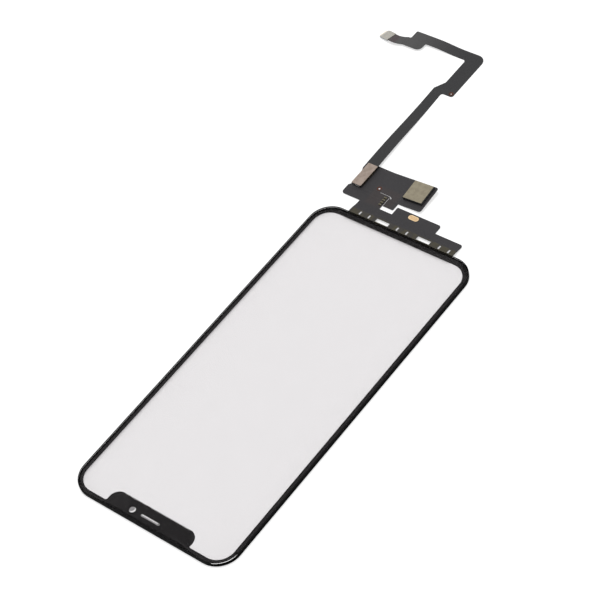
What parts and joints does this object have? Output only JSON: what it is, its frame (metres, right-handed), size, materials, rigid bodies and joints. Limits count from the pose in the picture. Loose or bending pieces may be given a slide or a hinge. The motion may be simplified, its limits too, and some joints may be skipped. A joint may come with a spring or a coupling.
{
  "type": "phone lcd screen assembly",
  "caption": "Front glass and touch sensor of a notched phone display, with rear frame, touch flex board and a ribbon plugged into it.",
  "frame": {"origin": "middle of the display area, on the rear face of the touch sensor film", "axes": "+Z out of the front glass, +Y along the glass towards the end where the circuits leave, +X across it to the right when the glass is seen from above with +Y up the page"},
  "size_m": [0.0992, 0.227, 0.003],
  "materials": {
    "glass": "polished",
    "ink": "printed black",
    "clear_adhesive": "clear",
    "sensor_film": "clear, faintly grey",
    "black_adhesive": "matt",
    "frame_plastic": "satin black",
    "bond_film": "matt",
    "flex_circuit": "satin dark grey coverlay",
    "chip_moulding": "matt moulded",
    "foil": "matt, warm grey",
    "solder": "bright tin",
    "steel_plate": "satin",
    "gilt_pad": "gilt",
    "gilt_contact": "gilt",
    "bare_copper": "dull copper",
    "capacitor_ceramic": "matt",
    "connector_black": "moulded",
    "connector_ivory": "moulded"
  },
  "bodies": {
    "root": {"cover_glass": "glass", "border_ink": "ink", "optical_adhesive": "clear_adhesive", "touch_sensor_film": "sensor_film", "frame_adhesive": "black_adhesive", "rear_frame": "frame_plastic", "bond_strip": "bond_film", "flex_board": "flex_circuit", "touch_chip": "chip_moulding", "chip_foil": "foil", "chip_solder": "solder", "chip_stiffener": "steel_plate", "earth_pad": "gilt_pad", "capacitors": "capacitor_ceramic", "board_ring": "bare_copper", "socket_stiffener": "steel_plate", "board_socket": "connector_black", "socket_contacts": "gilt_contact", "socket_nails": "solder", "near_plug": "connector_black", "near_plug_contacts": "gilt_contact", "near_plug_plate": "steel_plate", "ribbon": "flex_circuit", "ribbon_ring": "bare_copper", "far_plug": "connector_ivory", "far_plug_contacts": "gilt_contact", "far_plug_plate": "steel_plate"}
  },
  "joints": []
}
